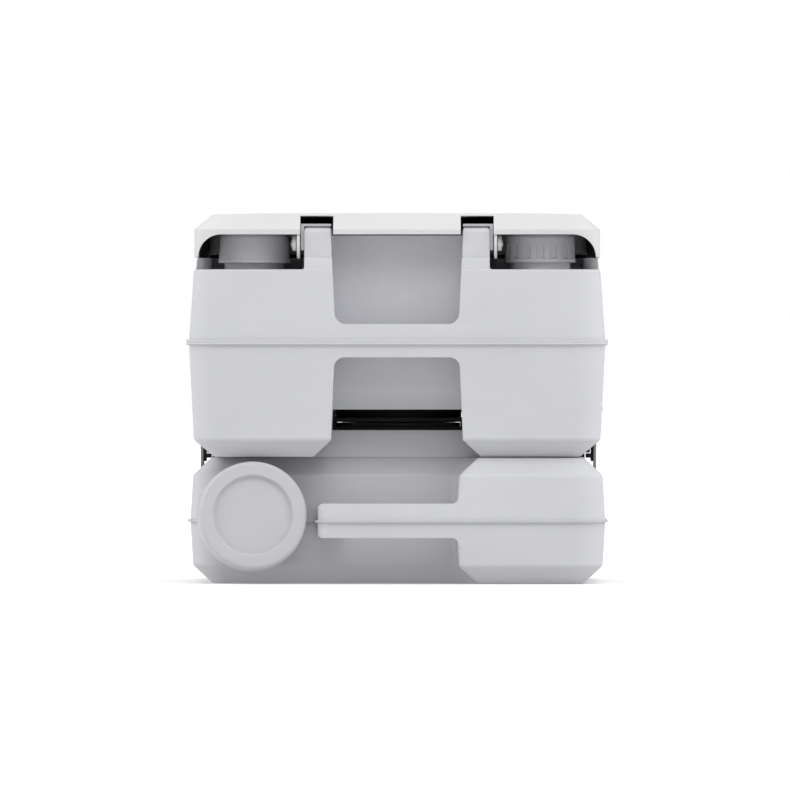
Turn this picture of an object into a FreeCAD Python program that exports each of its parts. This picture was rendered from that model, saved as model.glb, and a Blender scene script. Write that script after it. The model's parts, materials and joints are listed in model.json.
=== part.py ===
"""Portable camp toilet: a flush tank with bowl, seat and lid, latched on top of a waste tank.

Millimetres. +Z is up, the front faces -Y, and the origin is on the ground under the middle of the
outline. "left" is the +X side, the left hand of a person sitting on it.
"""
import FreeCAD, Part
import math
import os

import Sketcher
from FreeCAD import Rotation, Vector

DIMENSIONS = {
    # overall
    "width": 365, "depth": 415, "flange_out": 2.2, "wall": 3, "corner": 30,
    "edge_round": 5, "brim": 0.9, "ledge_step": 1.1,
    # waste tank: heights of its outline and how far each is inset from the widest one
    "waste_chamfer_z": 15.5, "waste_parting_z": 54.3, "waste_shoulder_z": 94.1, "waste_top_z": 109.3,
    "waste_bottom_inset": 19.3, "waste_draft": 2.3, "waste_top_inset": 18.3, "waste_flange": 1.0,
    "waste_recess_y": 147, "block_x": 51.3, "block_corner": 4, "block_root": 5,
    # carrying handle
    "handle_low_z": 39.8, "handle_high_z": 69.7, "handle_end_x": 68.6, "handle_bar": 22,
    "handle_root": 6, "handle_end_corner": 12, "handle_end_round": 4.5,
    # raised platform for the valve
    "platform_x": 82, "platform_front_y": -109, "platform_rear_y": 121, "platform_top_z": 133.1,
    "platform_slope": 0.25, "platform_corner": 18,
    # spout on the recessed rear wall
    "spout_x": 127.4, "spout_z": 56.7, "spout_tilt": 3.4, "spout_boss_radius": 45, "spout_boss_end": 6,
    "spout_bore_radius": 34, "spout_neck_radius": 38, "spout_cap_radius": 47.65, "spout_cap_start": 17,
    "spout_cap_end": 52, "spout_dish_radius": 33.5, "spout_dish_depth": 4,
    # flush tank
    "flush_bottom_z": 109.8, "flush_chamfer_z": 124.7, "flush_parting_z": 209.4, "flush_ledge_z": 272.2,
    "flush_top_z": 282.8, "flush_bottom_inset": 22.3, "flush_draft": 4.3, "flush_flange": 2.25,
    "channel_x": 57, "channel_top_x": 54, "channel_foot_x": 73, "channel_roof_z": 151,
    "channel_slope_z": 166.6, "lower_recess_top_z": 196, "recess_y": 165, "lower_recess_corner": 9,
    "front_channel_y": -122, "pocket_x": 97, "pocket_front_y": -125, "pocket_rear_y": 150,
    "upper_recess_z": 224.9, "upper_recess_x": 53.3, "upper_recess_top_x": 59, "upper_recess_corner": 9.5,
    # deck behind the seat
    "bay_outer_x": 161, "bay_front_y": 110, "bay_step_y": 142, "cap_x": 124, "cap_y": 150,
    # hinge posts
    "post_inner_x": 56.5, "post_outer_x": 80.2, "post_front_y": 150, "post_rear_y": 196,
    "post_top_z": 309.4, "post_corner": 4.5, "post_foot": 3, "web_top_z": 302,
    "hinge_y": 188, "hinge_z": 295, "pin_radius": 3, "pin_gap": 0.05,
    # bowl
    "bowl_x": 108.5, "bowl_front_y": -168.5, "bowl_rear_y": 84.5, "bowl_corner": 88, "bowl_wall": 2.5,
    "bowl_foot_z": 165, "outlet_radius": 46, "outlet_end_z": 144.6, "valve_y": -10, "bowl_lip": 9.5,
    "bowl_lip_thick": 2.4,
    # slide valve
    "base_plate_top_z": 136.1, "blade_low_z": 136.4, "blade_high_z": 139.4, "top_plate_low_z": 140,
    "top_plate_top_z": 144, "valve_x": 63, "blade_x": 54, "rail_x": 54.4, "valve_front_y": -74,
    "valve_rear_y": 52, "port_radius": 46, "handle_x": 42, "handle_front_y": -204, "handle_back_y": -190,
    # caps on the deck
    "cap_radius": 30.2, "neck_radius": 26, "neck_bore": 22, "cap_low_z": 278.4, "cap_top_z": 303,
    "groove_count": 16, "groove_width": 6.5, "groove_depth": 1.3, "groove_low_z": 281.9,
    "groove_high_z": 294.4, "fill_neck_top_z": 295.4, "gasket": 2,
    # bellows pump
    "well_radius": 33.5, "well_floor_z": 259, "knob_low_z": 278, "knob_top_z": 304, "knob_wall": 3,
    "collar_top_z": 283, "pump_radius": 20, "pump_low_z": 216, "hose_radius": 7, "hose_bore": 5,
    # side latches
    "latch_half": 24, "latch_floor_x": 157.5, "latch_low_z": 92, "latch_high_z": 161,
    "latch_pivot_x": 174, "latch_pivot_z": 151.5, "knuckle_radius": 5, "latch_pin_radius": 2,
    "lever_inner_x": 171, "lever_outer_x": 173.5, "lever_low_z": 97, "lever_half": 18,
    "hook_half": 9, "hook_inner_x": 168.6, "tooth_x": 164.2, "tooth_low_z": 108.5, "tooth_high_z": 112.4,
    "catch_top_z": 117, "catch_lip_z": 113, "catch_lip_x": 168, "catch_stem_x": 163.4,
    # seat
    "seat_x": 164.8, "seat_front_y": -194, "seat_rear_y": 108, "seat_low_z": 285.8, "seat_edge_z": 303,
    "seat_top_z": 311, "seat_wall": 3, "seat_hole_x": 94, "seat_hole_front_y": -150,
    "seat_hole_rear_y": 62, "arm_inner_x": 87, "arm_outer_x": 90.5, "arm_high_z": 301.6,
    # lid
    "lid_x": 175.6, "lid_y": 201.5, "lid_low_z": 283.1, "lid_edge_z": 306.7, "lid_shoulder_z": 320,
    "lid_top_z": 321.4, "lid_slope": 15.8, "lid_crown": 60, "lid_skirt": 3.5, "lid_plate": 2.6,
    "lip_low_z": 302.4, "arch_x": 172, "arch_corner": 20, "notch_inner_x": 55.1, "notch_outer_x": 83.6,
    "notch_top_z": 318.5, "notch_front_y": 165, "ear_inner_x": 84, "ear_outer_x": 86.5, "ear_radius": 13.5,
}

doc = FreeCAD.newDocument("camp_toilet")
sheet = doc.addObject("Spreadsheet::Sheet", "Sheet")
for row, (alias, number) in enumerate(DIMENSIONS.items(), start=1):
    sheet.set(f"A{row}", alias)
    sheet.set(f"B{row}", str(number))
    sheet.setAlias(f"B{row}", alias)
doc.recompute()

NODES = []
FAR = 60      # how far a cutting shape runs past the outside
PAST = 1      # how far a cavity runs past the open face of its shell
BEVEL = math.tan(math.radians(22.5))  # a 45 degree corner's inset for each unit of wall


class Size:
    """A number that remembers the sheet expression it comes from."""

    def __init__(self, value, text=None):
        self.value = float(value)
        self.text = text or repr(float(value))

    def __add__(self, other):
        other = as_size(other)
        return Size(self.value + other.value, f"({self.text} + {other.text})")

    def __sub__(self, other):
        other = as_size(other)
        return Size(self.value - other.value, f"({self.text} - {other.text})")

    def __mul__(self, other):
        other = as_size(other)
        return Size(self.value * other.value, f"({self.text} * {other.text})")

    def __radd__(self, other):
        return as_size(other) + self

    def __rsub__(self, other):
        return as_size(other) - self

    def __rmul__(self, other):
        return as_size(other) * self

    def __neg__(self):
        return self * -1


def as_size(number):
    return number if isinstance(number, Size) else Size(number)


class Sheet:
    """The sheet's cells by alias, each as a Size."""

    def __getattr__(self, alias):
        return Size(DIMENSIONS[alias], f"Sheet.{alias}")


d = Sheet()
HALF_X = d.width * 0.5 - d.flange_out
HALF_Y = d.depth * 0.5 - d.flange_out
SIDES = {"left": 1, "right": -1}


def bind(thing, path, number):
    thing.setExpression(path, as_size(number).text)


def put(thing, x=0, y=0, z=0, turn=None):
    """Place an object, its base bound to the sheet."""
    thing.Placement = FreeCAD.Placement(
        Vector(as_size(x).value, as_size(y).value, as_size(z).value), turn or Rotation())
    for axis, number in (("x", x), ("y", y), ("z", z)):
        if isinstance(number, Size):
            bind(thing, f".Placement.Base.{axis}", number)
    return thing


def node(label, thing):
    thing.Label = label
    NODES.append(thing)
    return thing


# ---------------------------------------------------------------- sketches and solids

TURNS = {"XY": Rotation(), "XZ": Rotation(Vector(1, 0, 0), 90), "YZ": Rotation(Vector(1, 1, 1), 120)}
NORMALS = {"XY": Vector(0, 0, 1), "XZ": Vector(0, 1, 0), "YZ": Vector(1, 0, 0)}


def trace(sketch, corners):
    """Draw a closed outline through corners (u, v) or (u, v, radius), every size bound to the sheet."""
    spots = [Vector(as_size(c[0]).value, as_size(c[1]).value, 0) for c in corners]
    ends = []
    for i, corner in enumerate(corners):
        u, v = as_size(corner[0]), as_size(corner[1])
        if len(corner) == 2:
            ends.append(((u, v), (u, v), None))
            continue
        way_in = (spots[i] - spots[i - 1]).normalize()
        way_out = (spots[(i + 1) % len(spots)] - spots[i]).normalize()
        turn = math.atan2(way_in.x * way_out.y - way_in.y * way_out.x, way_in.dot(way_out))
        reach = as_size(corner[2]) * math.tan(abs(turn) / 2)
        start = (u - reach * way_in.x, v - reach * way_in.y)
        stop = (u + reach * way_out.x, v + reach * way_out.y)
        ends.append((start, stop, (as_size(corner[2]), turn, way_in)))

    def flat(point):
        return Vector(point[0].value, point[1].value, 0)

    def pin(item, end, point):
        for kind, number in (("DistanceX", point[0]), ("DistanceY", point[1])):
            where = sketch.addConstraint(Sketcher.Constraint(kind, -1, 1, item, end, number.value))
            if "Sheet" in number.text:
                bind(sketch, f"Constraints[{where}]", number)

    lines = []
    for i, (_, stop, _) in enumerate(ends):
        start = ends[(i + 1) % len(ends)][0]
        lines.append(sketch.addGeometry(Part.LineSegment(flat(stop), flat(start)), False))
    for i, (start, stop, arc) in enumerate(ends):
        before, after = lines[i - 1], lines[i]
        pin(after, 1, stop)
        if arc is None:
            sketch.addConstraint(Sketcher.Constraint("Coincident", before, 2, after, 1))
            continue
        radius, turn, way_in = arc
        side = Vector(-way_in.y, way_in.x, 0) * math.copysign(1, turn)
        centre = flat(start) + side * radius.value
        middle = centre + ((flat(start) - centre) + (flat(stop) - centre)).normalize() * radius.value
        bend = sketch.addGeometry(Part.Arc(flat(start), middle, flat(stop)), False)
        first, last = (1, 2) if turn > 0 else (2, 1)
        pin(before, 2, start)
        sketch.addConstraint(Sketcher.Constraint("Coincident", before, 2, bend, first))
        sketch.addConstraint(Sketcher.Constraint("Coincident", bend, last, after, 1))
        where = sketch.addConstraint(Sketcher.Constraint("Radius", bend, radius.value))
        if "Sheet" in radius.text:
            bind(sketch, f"Constraints[{where}]", radius)
    return sketch


def outline(corners, plane="XY", at=0):
    """A sketch of its own on a plane: XY at a height, XZ at a depth, or YZ at a distance to the side."""
    sketch = doc.addObject("Sketcher::SketchObject", "Outline")
    trace(sketch, corners)
    spot = {"XY": (0, 0, at), "XZ": (0, at, 0), "YZ": (at, 0, 0)}[plane]
    return put(sketch, *spot, TURNS[plane])


def prism(corners, plane, start, stop):
    """An outline carried from start to stop along its plane's normal."""
    solid = doc.addObject("Part::Extrusion", "Prism")
    solid.Base = outline(corners, plane, start)
    solid.DirMode = "Custom"
    solid.Dir = NORMALS[plane]
    solid.Solid = True
    bind(solid, "LengthFwd", as_size(stop) - start)
    return solid


def loft(levels):
    """A solid with flat-ruled sides through (height, corners) outlines."""
    solid = doc.addObject("Part::Loft", "Loft")
    solid.Sections = [outline(corners, "XY", height) for height, corners in levels]
    solid.Solid = True
    solid.Ruled = True
    return solid


def softened(levels, radius):
    """The (height, inset) levels with each bend between them rounded in two facets."""
    spots = [Vector(as_size(inset).value, as_size(height).value, 0) for height, inset in levels]
    soft = [levels[0]]
    for i in range(1, len(levels) - 1):
        height, inset = levels[i]
        way_in = (spots[i] - spots[i - 1]).normalize()
        way_out = (spots[i + 1] - spots[i]).normalize()
        half = way_in.getAngle(way_out) / 2
        reach = as_size(radius) * math.tan(half)
        inward = (way_out - way_in).normalize()
        depth = as_size(radius) * (1 / math.cos(half) - 1)
        soft += [(height - reach * way_in.y, inset - reach * way_in.x),
                 (height + depth * inward.y, inset + depth * inward.x),
                 (height + reach * way_out.y, inset + reach * way_out.x)]
    return soft + [levels[-1]]


def turned(profile):
    """A (radius, height) profile turned about Z."""
    solid = doc.addObject("Part::Revolution", "Turned")
    solid.Source = outline(profile, "XZ")
    solid.Axis = Vector(0, 0, 1)
    solid.Base = Vector(0, 0, 0)
    solid.Angle = 360
    solid.Solid = True
    return solid


def cylinder(radius, height):
    solid = doc.addObject("Part::Cylinder", "Cylinder")
    bind(solid, "Radius", radius)
    bind(solid, "Height", height)
    return solid


def rod(radius, axis, start, stop, u, v):
    """A cylinder along X or Y from start to stop, its axis at (y, z) or (x, z)."""
    solid = doc.addObject("Part::Cylinder", "Rod")
    bind(solid, "Radius", radius)
    bind(solid, "Height", as_size(stop) - start)
    if axis == "X":
        return put(solid, start, u, v, Rotation(Vector(0, 1, 0), 90))
    return put(solid, u, start, v, Rotation(Vector(1, 0, 0), -90))


def box(x0, x1, y0, y1, z0, z1):
    solid = doc.addObject("Part::Box", "Box")
    bind(solid, "Length", as_size(x1) - x0)
    bind(solid, "Width", as_size(y1) - y0)
    bind(solid, "Height", as_size(z1) - z0)
    return put(solid, x0, y0, z0)


def fuse(*shapes):
    solid = doc.addObject("Part::MultiFuse", "Fuse")
    solid.Shapes = list(shapes)
    return solid


def common(*shapes):
    solid = doc.addObject("Part::MultiCommon", "Common")
    solid.Shapes = list(shapes)
    return solid


def cut(base, *tools):
    for tool in tools:
        result = doc.addObject("Part::Cut", "Cut")
        result.Base = base
        result.Tool = tool
        base = result
    return base


def group(*shapes):
    """Separate solids held as one piece."""
    solid = doc.addObject("Part::Compound", "Group")
    solid.Links = list(shapes)
    return solid


def rectangle(x0, x1, y0, y1, radius):
    return [(x0, y0, radius), (x1, y0, radius), (x1, y1, radius), (x0, y1, radius)]


def sided(side, near, far):
    """The low and high x of a span given by its distances from the middle."""
    return (near, far) if side > 0 else (-as_size(far), -as_size(near))


def plan(inset, corner=None):
    """The rounded rectangle of the whole outline, inset from the widest level."""
    radius = d.corner - inset if corner is None else corner
    return rectangle(-HALF_X + inset, HALF_X - inset, -HALF_Y + inset, HALF_Y - inset, radius)


# ---------------------------------------------------------------- waste tank

def waste_plan(inset):
    """The waste tank's outline: full depth behind the right-hand block, recessed beside it."""
    rim = d.corner - inset
    x, y = HALF_X - inset, HALF_Y - inset
    back = d.waste_recess_y - inset
    block = -d.block_x - inset
    return [(-x, -y, rim), (x, -y, rim), (x, back, rim), (block, back, d.block_root + inset),
            (block, y, d.block_corner), (-x, y, rim)]


def handle_bar(shrink, low, high):
    """Half of the carrying handle: a bar from the block that turns back into the recessed wall."""
    root = -d.block_x - 2
    rear, end = HALF_Y - shrink, d.handle_end_x - shrink
    inner_y, inner_x = rear - d.handle_bar + shrink * 2, end - d.handle_bar + shrink * 2
    path = [(root - 12, inner_y), (inner_x, inner_y, 6), (inner_x, d.waste_recess_y - 6),
            (end, d.waste_recess_y - 6), (end, rear, d.handle_end_corner - shrink), (root - 12, rear)]
    return prism(path, "XY", low, high)


def handle_half(upper):
    """The bar's half above or below the parting plane, with a fillet where it leaves the block.

    Its rear face has the block's draft, so that the two are one surface.
    """
    root = -d.block_x - 2
    edge = d.handle_high_z if upper else d.handle_low_z
    flare = edge + 8 if upper else edge - 8
    face = [(root - 12, d.waste_parting_z), (root - 12, flare), (root, flare),
            (root, edge, d.handle_root), (d.handle_end_x, edge, d.handle_end_round),
            (d.handle_end_x, d.waste_parting_z)]
    low, high = (d.waste_parting_z, flare) if upper else (flare, d.waste_parting_z)
    last = d.waste_shoulder_z if upper else d.waste_chamfer_z
    draft = [(120, d.waste_parting_z), (HALF_Y, d.waste_parting_z), (HALF_Y - d.waste_draft, last),
             (120, last)]
    return common(prism(face, "XZ", 120, 230), handle_bar(as_size(0), low, high),
                  prism(draft, "YZ", root - 20, d.handle_end_x + 20))


def platform(shrink, low, high):
    """The raised platform that carries the valve, with sloping sides."""
    def ring(height):
        spread = (d.platform_top_z - height) * d.platform_slope - shrink
        return rectangle(-d.platform_x - spread, d.platform_x + spread, d.platform_front_y - spread,
                         d.platform_rear_y + spread, d.platform_corner)
    return loft([(low, ring(as_size(low))), (high, ring(as_size(high)))])


def spout_turn():
    """The spout leans a little upward and towards the middle."""
    tilt = DIMENSIONS["spout_tilt"]
    return Rotation(Vector(1, 0, 0), -90 + tilt).multiply(Rotation(Vector(0, 1, 0), -tilt))


def on_spout(solid, start=0):
    """Stand a solid on the recessed wall along the spout's axis, starting some way along it."""
    turn = spout_turn()
    axis = turn.multVec(Vector(0, 0, 1))
    return put(solid, d.spout_x + start * axis.x, d.waste_recess_y + start * axis.y,
               d.spout_z + start * axis.z, turn)


def latch_pocket(side, grow, low, high):
    """The notch in a tank's side that holds a latch."""
    x0, x1 = sided(side, d.latch_floor_x - grow, HALF_X + FAR)
    return box(x0, x1, -d.latch_half - grow, d.latch_half + grow, low, high)


def waste_half(upper):
    """One moulded half of the waste tank: skin, weld flange, handle half and spout boss half."""
    flange = (d.waste_parting_z, d.waste_parting_z + d.waste_flange) if upper else (
        d.waste_parting_z - d.waste_flange, d.waste_parting_z)
    if upper:
        outer = [(d.waste_parting_z, as_size(0)), (d.waste_shoulder_z, d.waste_draft),
                 (d.waste_top_z - d.brim, d.waste_top_inset - d.brim),
                 (d.waste_top_z, d.waste_top_inset + d.brim)]
        inner = [(d.waste_parting_z - PAST, d.wall),
                 (d.waste_shoulder_z - d.wall * BEVEL, d.waste_draft + d.wall),
                 (d.waste_top_z - d.wall, d.waste_top_inset + d.wall * BEVEL)]
        keep = (d.waste_parting_z, 400)
        bar = (d.waste_parting_z - PAST, d.handle_high_z - d.wall)
    else:
        outer = [(as_size(0), d.waste_bottom_inset + d.brim), (d.brim, d.waste_bottom_inset - d.brim),
                 (d.waste_chamfer_z, d.waste_draft), (d.waste_parting_z, as_size(0))]
        inner = [(d.wall, d.waste_bottom_inset + d.wall * BEVEL),
                 (d.waste_chamfer_z + d.wall * BEVEL, d.waste_draft + d.wall),
                 (d.waste_parting_z + PAST, d.wall)]
        keep = (-100, d.waste_parting_z)
        bar = (d.handle_low_z + d.wall, d.waste_parting_z + PAST)

    boss = common(on_spout(cylinder(d.spout_boss_radius, d.spout_boss_end + d.wall), -d.wall),
                  box(0, 300, 0, 300, *keep))
    skin = [loft([(height, waste_plan(as_size(inset))) for height, inset in softened(outer, d.edge_round)]),
            prism(waste_plan(-d.flange_out), "XY", *flange), handle_bar(-d.flange_out, *flange),
            handle_half(upper), boss]
    hollow = [loft([(height, waste_plan(as_size(inset))) for height, inset in inner]),
              handle_bar(d.wall, *bar)]
    holes = [on_spout(cylinder(d.spout_neck_radius, 40), -20)]
    if upper:
        skin.append(platform(as_size(0), d.waste_top_z - 2, d.platform_top_z))
        hollow.append(platform(d.wall, d.waste_top_z - 12, d.platform_top_z - d.wall))
        port = cylinder(d.port_radius, 40)
        holes.append(put(port, 0, d.valve_y, d.waste_top_z))
    cavity = fuse(*hollow)
    if upper:
        for side in SIDES.values():
            cavity = cut(cavity, latch_pocket(side, d.wall, d.latch_low_z - d.wall, d.waste_top_z + FAR))
            holes.append(latch_pocket(side, as_size(0), d.latch_low_z, d.waste_top_z + FAR))
    return cut(fuse(*skin), cavity, *holes)


def make_waste_tank():
    node("waste_tank_lower_shell", waste_half(False))
    node("waste_tank_upper_shell", waste_half(True))


def make_spout():
    """Neck, its seal, and the big screw cap with its gasket, all on the spout's axis."""
    bore, neck, boss = d.spout_bore_radius, d.spout_neck_radius - 0.2, d.spout_boss_radius
    face = d.spout_boss_end
    tip = d.spout_cap_end - 11
    node("spout_neck", on_spout(turned([
        (bore, -8), (neck, -8), (neck, face + 1.5), (boss, face + 1.5), (boss, face + 4.5, 1),
        (neck, face + 4.5), (neck, tip), (bore, tip)])))
    node("spout_neck_seal", on_spout(turned([
        (neck + 0.2, face), (boss - 1, face), (boss - 1, face + 1.5), (neck + 0.2, face + 1.5)])))

    rim, dish, low, high = d.spout_cap_radius, d.spout_dish_radius, d.spout_cap_start, d.spout_cap_end
    floor = high - d.spout_dish_depth
    node("spout_cap", on_spout(turned([
        (0, floor - 5), (neck + 0.5, floor - 5), (neck + 0.5, low + 4), (neck + 3, low + 4),
        (neck + 3, floor - 5), (rim - 3, floor - 5), (rim - 3, low), (rim, low, 1.2),
        (rim - 1.2, high, 3.2), (dish + 0.6, high, 2), (dish, floor, 1), (0, floor)])))
    node("spout_cap_gasket", on_spout(turned([
        (0, tip), (neck, tip), (neck, floor - 5), (0, floor - 5)])))


# ---------------------------------------------------------------- flush tank

def rear_channel(grow):
    """The gap between the rear legs: a recess above, then a slope down to the channel's roof."""
    top = d.channel_top_x + grow
    side = d.channel_x + grow
    foot = d.channel_foot_x + grow
    face = [(-foot - 10, d.flush_bottom_z - 10), (foot + 10, d.flush_bottom_z - 10),
            (foot, d.flush_bottom_z), (side, d.flush_chamfer_z),
            (top, d.lower_recess_top_z + grow, d.lower_recess_corner + grow),
            (-top, d.lower_recess_top_z + grow, d.lower_recess_corner + grow),
            (-side, d.flush_chamfer_z), (-foot, d.flush_bottom_z)]
    back = d.recess_y - grow
    rise = d.channel_slope_z - d.channel_roof_z
    roof = d.channel_roof_z + grow
    section = [(HALF_Y + FAR, d.flush_bottom_z - 12), (HALF_Y + FAR, d.lower_recess_top_z + 20),
               (back, d.lower_recess_top_z + 20), (back, d.channel_slope_z + grow * BEVEL),
               (back - rise, roof), (d.platform_rear_y - 40, roof),
               (d.platform_rear_y - 40, d.flush_bottom_z - 12)]
    return common(prism(face, "XZ", 60, HALF_Y + FAR), prism(section, "YZ", -120, 120))


def front_channel(grow):
    """The gap at the front that the valve's pull handle sits in."""
    side, foot = d.channel_x + grow, d.channel_foot_x + grow
    roof = d.channel_roof_z + grow
    face = [(-foot - 10, d.flush_bottom_z - 10), (foot + 10, d.flush_bottom_z - 10),
            (foot, d.flush_bottom_z), (side, d.flush_chamfer_z), (side - 1, roof, 7 + grow),
            (-side + 1, roof, 7 + grow), (-side, d.flush_chamfer_z), (-foot, d.flush_bottom_z)]
    return prism(face, "XZ", -HALF_Y - FAR, d.front_channel_y + 22)


def pocket(grow):
    """The hollow under the tank that drops over the valve platform."""
    return prism(rectangle(-d.pocket_x - grow, d.pocket_x + grow, d.pocket_front_y - grow,
                           d.pocket_rear_y + grow, 16 + grow),
                 "XY", d.flush_bottom_z - 10, d.channel_roof_z + grow)


def make_flush_lower():
    levels = [(d.flush_bottom_z, d.flush_bottom_inset + d.brim),
              (d.flush_bottom_z + d.brim, d.flush_bottom_inset - d.brim),
              (d.flush_chamfer_z, d.flush_draft), (d.flush_parting_z, as_size(0))]
    outer = loft([(height, plan(inset)) for height, inset in softened(levels, d.edge_round)])
    flange = prism(plan(-d.flange_out), "XY", d.flush_parting_z - d.flush_flange, d.flush_parting_z)
    cavity = loft([(d.flush_bottom_z + d.wall, plan(d.flush_bottom_inset + d.wall * BEVEL, 6)),
                   (d.flush_chamfer_z + d.wall * BEVEL, plan(d.flush_draft + d.wall)),
                   (d.flush_parting_z + PAST, plan(d.wall))])
    tools, walls = [], []
    for grow, pile in ((as_size(0), tools), (d.wall, walls)):
        pile += [rear_channel(grow), front_channel(grow), pocket(grow)]
        for side in SIDES.values():
            pile.append(latch_pocket(side, grow, d.flush_bottom_z - 10, d.latch_high_z + grow))
    outlet = cylinder(d.outlet_radius + 0.4, 30)
    tools.append(put(outlet, 0, d.valve_y, d.channel_roof_z - 10))
    for side in SIDES.values():
        x, y = d.latch_pivot_x * side, -d.latch_half - 6
        tools.append(rod(d.latch_pin_radius + d.pin_gap, "Y", y, -y, x, d.latch_pivot_z))
    shell = cut(fuse(outer, flange), cut(cavity, *walls), *tools)
    node("flush_tank_lower_shell", shell)


def upper_recess(grow):
    """The hand recess in the rear wall, open at the top between the hinge posts."""
    low, corner = d.upper_recess_z - grow, d.upper_recess_corner + grow
    near, far = d.upper_recess_x + grow, d.upper_recess_top_x + grow
    face = [(-near, low, corner), (near, low, corner), (far, 340), (-far, 340)]
    return prism(face, "XZ", d.recess_y - grow, HALF_Y + FAR)


def rear_bay(side, grow):
    """The lowered corner of the deck that a cap stands in, open to the side and the rear."""
    near, out, far = d.post_outer_x - grow, d.bay_outer_x + grow, HALF_X + FAR
    front, step, back = d.bay_front_y - grow, d.bay_step_y - grow, HALF_Y + FAR
    corners = [(near, front, 8), (out, front, 12), (out, step, 9), (far, step), (far, back), (near, back)]
    if side < 0:
        corners = [(-c[0], *c[1:]) for c in reversed(corners)]
    return prism(corners, "XY", d.flush_ledge_z - grow, 340)


def hinge_post(side, grow):
    """A post beside the recess, its top edges rounded and its foot filleted into the deck."""
    near, far = d.post_inner_x + grow, d.post_outer_x - grow
    toe = far + d.post_foot + PAST
    low, high, deck = d.flush_ledge_z - 12, d.post_top_z - grow, d.flush_ledge_z - grow
    front, rear = d.post_front_y + grow, d.post_rear_y - grow
    corners = [(near, low), (toe, low), (toe, deck), (far, deck, d.post_foot), (far, high, d.post_corner),
               (near, high, d.post_corner)]
    if side < 0:
        corners = [(-c[0], *c[1:]) for c in reversed(corners)]
    face = prism(corners, "XZ", front, rear)
    section = prism([(front, low), (rear, low), (rear, high, 6), (front, high, 3)], "YZ",
                    *sided(side, near, toe))
    return common(face, section)


def bowl_opening(inset, height, corner=None):
    """The bowl's oval at a height."""
    return rectangle(-d.bowl_x + inset, d.bowl_x - inset, d.bowl_front_y + inset,
                     d.bowl_rear_y - inset, d.bowl_corner - inset if corner is None else corner)


def make_flush_upper():
    top = d.flush_top_z
    ledge, step = d.flush_ledge_z, d.flush_draft + d.ledge_step
    outer = loft([(d.flush_parting_z, plan(as_size(0))), (ledge - 2.5, plan(d.flush_draft - 0.1)),
                  (ledge - 0.8, plan(d.flush_draft + 0.3)), (ledge, plan(step)), (top - 3, plan(step + 0.6)),
                  (top - 0.8, plan(step + 1.4)), (top, plan(step + 3.4))])
    flange = prism(plan(-d.flange_out), "XY", d.flush_parting_z, d.flush_parting_z + d.flush_flange)
    web = box(-d.post_inner_x - 2, d.post_inner_x + 2, d.post_front_y, d.recess_y + 3,
              d.flush_ledge_z - 12, d.web_top_z)
    neck = put(cylinder(d.neck_radius, d.fill_neck_top_z - d.flush_ledge_z + 2),
               -d.cap_x, d.cap_y, d.flush_ledge_z - 2)
    posts = [hinge_post(side, as_size(0)) for side in SIDES.values()]
    bays = [rear_bay(side, as_size(0)) for side in SIDES.values()]
    skin = fuse(cut(fuse(outer, flange), *bays), web, neck, *posts)

    cavity = loft([(d.flush_parting_z - PAST, plan(d.wall)), (ledge - 2.5, plan(d.flush_draft + d.wall)),
                   (ledge, plan(step + d.wall)), (top - d.wall, plan(step + 0.6 + d.wall))])
    well_wall = put(cylinder(d.well_radius + d.wall, 60), d.cap_x, d.cap_y, d.well_floor_z - d.wall)
    cavity = cut(cavity, *[rear_bay(side, d.wall) for side in SIDES.values()])
    web_hollow = box(-d.post_inner_x, d.post_inner_x, d.post_front_y + d.wall, d.recess_y,
                     d.flush_ledge_z - 12, d.web_top_z - d.wall)
    cavity = fuse(cavity, web_hollow, *[hinge_post(side, d.wall) for side in SIDES.values()])
    cavity = cut(cavity, upper_recess(d.wall), well_wall)

    well = put(cylinder(d.well_radius, 60), d.cap_x, d.cap_y, d.well_floor_z)
    pump_hole = put(cylinder(d.pump_radius + 0.3, 60), d.cap_x, d.cap_y, d.well_floor_z - 30)
    fill_hole = put(cylinder(d.neck_bore, 60), -d.cap_x, d.cap_y, d.flush_ledge_z - 20)
    opening = prism(bowl_opening(as_size(-0.4), top), "XY", top - 20, top + 20)
    pin_holes = [rod(d.pin_radius + d.pin_gap, "X", *sided(side, d.post_inner_x + 2, d.post_outer_x + 4),
                     d.hinge_y, d.hinge_z) for side in SIDES.values()]
    node("flush_tank_upper_shell",
         cut(skin, cavity, upper_recess(as_size(0)), well, pump_hole, fill_hole, opening, *pin_holes))


# ---------------------------------------------------------------- bowl and flush

def bowl_levels(shrink, top):
    """The bowl narrows from its oval to the square-round throat along a quarter-ellipse-like curve."""
    deep, levels = 5, []
    throat = d.outlet_radius - 2 - shrink
    for step in range(deep + 1):
        share = math.sin(math.radians(90 * step / deep)) ** 1.6
        height = d.bowl_foot_z + (top - d.bowl_foot_z) * (step / deep)
        wide, front, rear = d.bowl_x - shrink, d.bowl_front_y + shrink, d.bowl_rear_y - shrink
        corner = (d.bowl_corner - shrink) * share + (throat - 2) * (1 - share)
        x = wide * share + throat * (1 - share)
        y0 = front * share + (d.valve_y - throat) * (1 - share)
        y1 = rear * share + (d.valve_y + throat) * (1 - share)
        levels.append((height, rectangle(-x, x, y0, y1, corner)))
    return levels


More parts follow.
